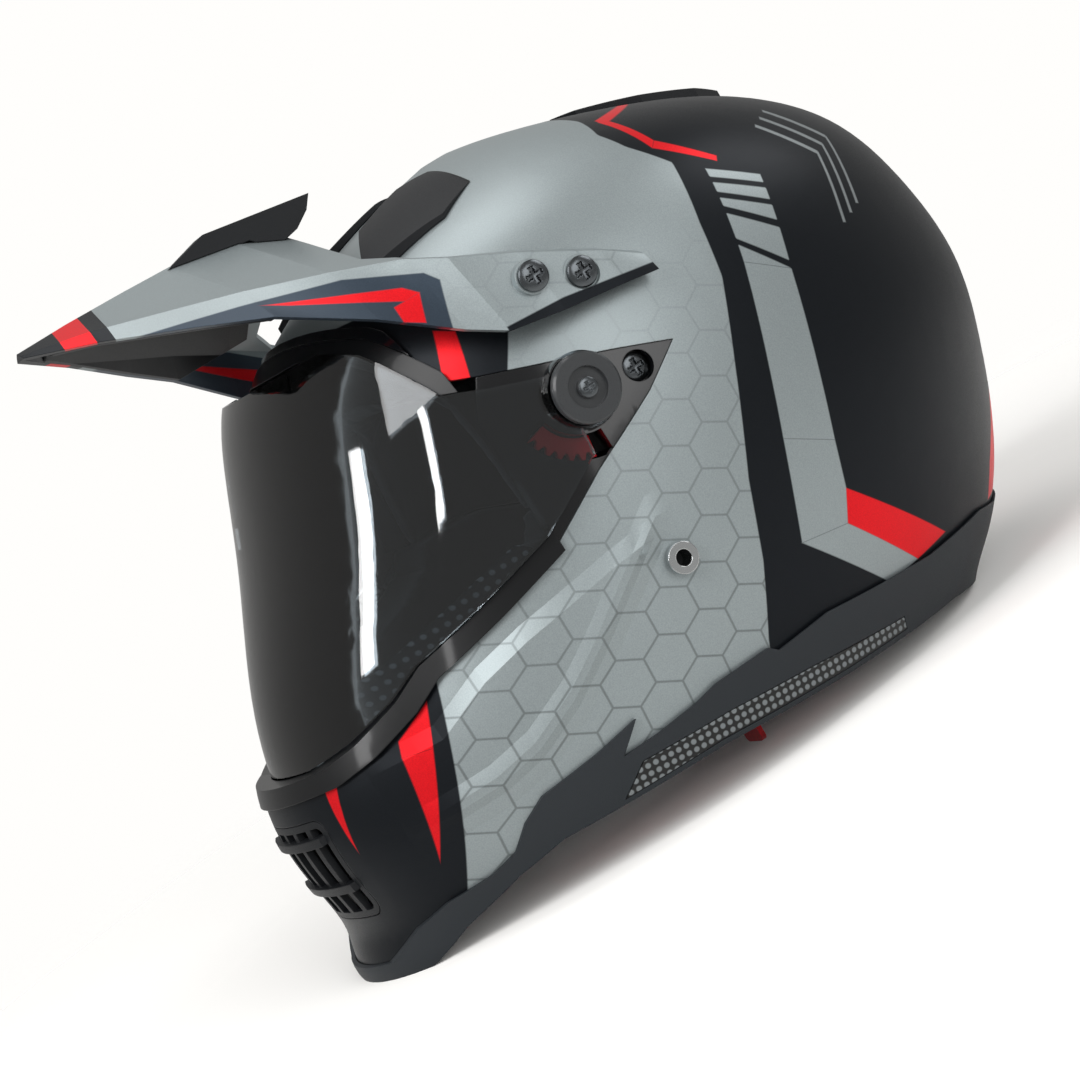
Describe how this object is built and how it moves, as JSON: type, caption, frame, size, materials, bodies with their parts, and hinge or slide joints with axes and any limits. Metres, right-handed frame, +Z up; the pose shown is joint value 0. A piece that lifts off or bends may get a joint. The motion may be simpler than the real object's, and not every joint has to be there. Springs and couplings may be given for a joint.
{
  "type": "dual sport helmet",
  "caption": "Full-face off-road helmet with a long peak, a hinged smoked shield, vents, foam lining and cheek pads.",
  "frame": {"origin": "middle of the bounding box at the floor that the rim stands on", "axes": "+Z up, -Y the way the wearer faces, +X the wearer's left"},
  "size_m": [0.2516, 0.3518, 0.2676],
  "materials": {
    "shell_paint": "matte two-tone paint on a moulded shell",
    "peak_paint": "matte paint on a moulded peak",
    "black_foam": "expanded foam beads",
    "liner_fabric": "brushed knit",
    "red_pad_fabric": "brushed knit",
    "rim_plastic": "moulded, fine grain",
    "side_mesh": "moulded dot mesh",
    "gasket_rubber": "smooth",
    "gloss_trim": "polished",
    "guard_fabric": "stitched",
    "shield_smoke": "smoked clear sheet, polished",
    "cap_plastic": "satin",
    "lever_red": "satin",
    "screw_steel": "dark plated",
    "black_plastic": "moulded, fine grain",
    "rivet_chrome": "polished",
    "strap_webbing": "woven webbing",
    "tab_red": "woven tape"
  },
  "bodies": {
    "helmet": {"breath_guard": "guard_fabric", "brow_trim": "gloss_trim", "cheek_pad_left": "red_pad_fabric", "cheek_pad_right": "red_pad_fabric", "chin_eps": "black_foam", "chin_strap_left": "strap_webbing", "chin_strap_right": "strap_webbing", "chin_vent_grille": "black_plastic", "comfort_liner": "liner_fabric", "eps_liner": "black_foam", "eyeport_gasket": "gasket_rubber", "forehead_scoop_left": "black_plastic", "forehead_scoop_right": "black_plastic", "neck_roll": "liner_fabric", "outer_shell": "shell_paint", "peak": "peak_paint", "peak_fin": "black_plastic", "peak_screws": "screw_steel", "peak_underside": "black_plastic", "pivot_cap_left": "cap_plastic", "pivot_cap_right": "cap_plastic", "plate_screws": "screw_steel", "rear_vent_housing": "black_plastic", "rim_trim": "rim_plastic", "side_mesh_left": "side_mesh", "side_mesh_right": "side_mesh", "side_plate_left": "gloss_trim", "side_plate_right": "gloss_trim", "strap_rivets": "rivet_chrome", "strap_tab": "tab_red"},
    "shield": {"face_shield": "shield_smoke"},
    "lever_left": {"release_lever_left": "lever_red"},
    "lever_right": {"release_lever_right": "lever_red"},
    "chin_shutter": {"chin_vent_shutter": "black_plastic"},
    "d_rings": {"d_rings": "rivet_chrome"}
  },
  "joints": [
    {"name": "shield_hinge", "type": "hinge", "parent": "helmet", "child": "shield", "pos_m": [0, -0.03, 0.152], "axis": [-1, 0, 0], "range_deg": [0, 34]},
    {"name": "lever_left_turn", "type": "hinge", "parent": "helmet", "child": "lever_left", "pos_m": [0, -0.03, 0.152], "axis": [-1, 0, 0], "range_deg": [0, 7], "stiffness_Nm_per_rad": 0.03},
    {"name": "lever_right_turn", "type": "hinge", "parent": "helmet", "child": "lever_right", "pos_m": [0, -0.03, 0.152], "axis": [-1, 0, 0], "range_deg": [0, 7], "stiffness_Nm_per_rad": 0.03},
    {"name": "chin_shutter_slide", "type": "slide", "parent": "helmet", "child": "chin_shutter", "axis": [0, 0, 1], "range_m": [0, 0.009]},
    {"name": "d_rings_swing", "type": "hinge", "parent": "helmet", "child": "d_rings", "pos_m": [-0.054, -0.03, 0.0126], "axis": [0, -1, 0], "range_deg": [-15, 25]}
  ]
}
